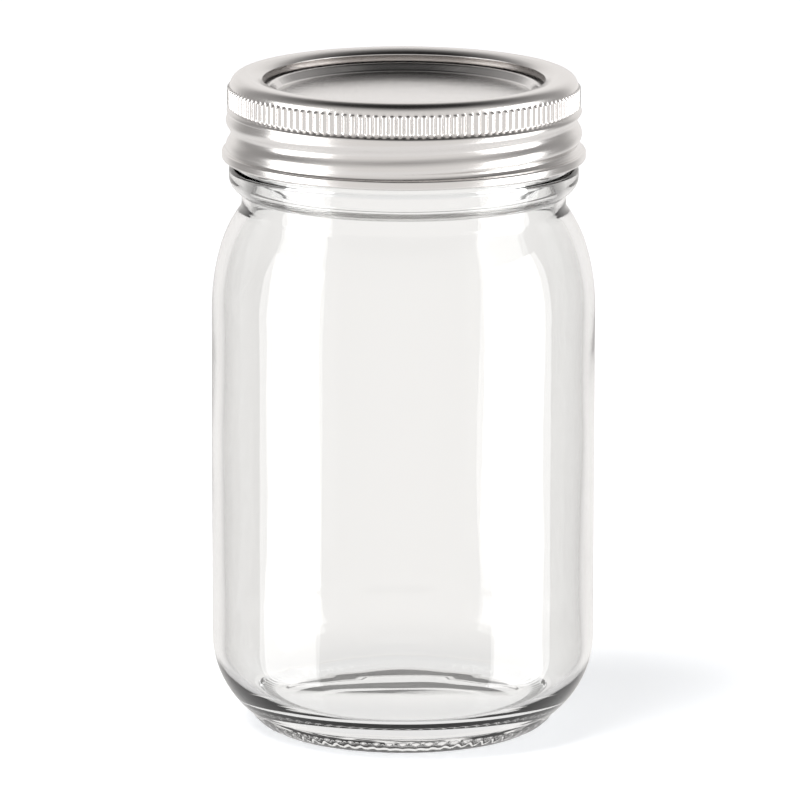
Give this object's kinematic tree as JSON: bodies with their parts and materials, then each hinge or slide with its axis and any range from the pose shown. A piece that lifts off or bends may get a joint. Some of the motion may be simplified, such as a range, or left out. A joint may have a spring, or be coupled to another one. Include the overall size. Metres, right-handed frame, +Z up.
{
  "type": "sourdough starter jar",
  "caption": "Clear glass preserving jar with a flat tinplate lid and a knurled screw band, used to keep a sourdough starter.",
  "frame": {"origin": "on the jar's axis, at the surface that it stands on", "axes": "+Z up along the jar's axis, towards the lid; -Y towards the viewer of the picture"},
  "size_m": [0.0768, 0.0768, 0.1323],
  "materials": {
    "clear_glass": "clear and glossy",
    "sealing_compound": "matte",
    "lid_tinplate": "satin",
    "band_tinplate": "satin"
  },
  "bodies": {
    "jar": {"glass_jar": "clear_glass"},
    "lid": {"flat_lid": "lid_tinplate", "sealing_ring": "sealing_compound"},
    "band": {"screw_band": "band_tinplate"}
  },
  "joints": [
    {"name": "lid_lift", "type": "slide", "parent": "jar", "child": "lid", "axis": [0, 0, 1], "range_m": [0, 0.0178]},
    {"name": "band_turn", "type": "hinge", "parent": "lid", "child": "band", "pos_m": [0, 0, 0.1241], "axis": [0, 0, 1], "range_deg": [0, 1260]}
  ],
  "couplings": [
    {"joint": "lid_lift", "follows": "band_turn", "m_per_rad": 0.00080851}
  ]
}
